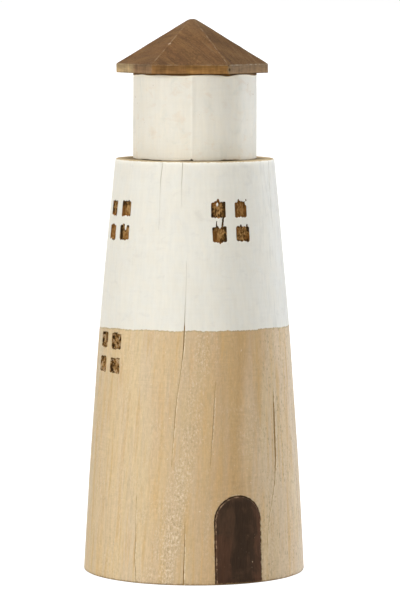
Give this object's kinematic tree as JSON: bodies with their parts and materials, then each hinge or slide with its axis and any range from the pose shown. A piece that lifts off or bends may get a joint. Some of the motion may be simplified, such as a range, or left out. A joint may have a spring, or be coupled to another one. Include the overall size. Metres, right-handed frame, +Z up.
{
  "type": "wooden lighthouse figurine",
  "caption": "Free-standing wooden lighthouse ornament: a tapered log tower with carved windows and a painted arched door, a round lantern room and a hexagonal roof.",
  "frame": {"origin": "centre of the flat foot, on the surface the ornament stands on", "axes": "+Z up along the tower; -Y is the side with the door; +X is to the right of someone who faces the door"},
  "size_m": [0.1364, 0.1364, 0.34],
  "materials": {
    "tower_wood": "limewashed softwood with the grain showing below, matt white chalk paint above, brown stain in the carving",
    "lantern_paint": "matt off-white chalk paint over wood, rubbed thin in places",
    "roof_stain": "matt walnut-brown stain, rubbed lighter along the ridges and eaves",
    "dowel_beech": "bare beech"
  },
  "bodies": {
    "root": {"tower": "tower_wood", "lantern_room": "lantern_paint", "roof": "roof_stain", "lower_dowel": "dowel_beech", "upper_dowel": "dowel_beech"}
  },
  "joints": []
}
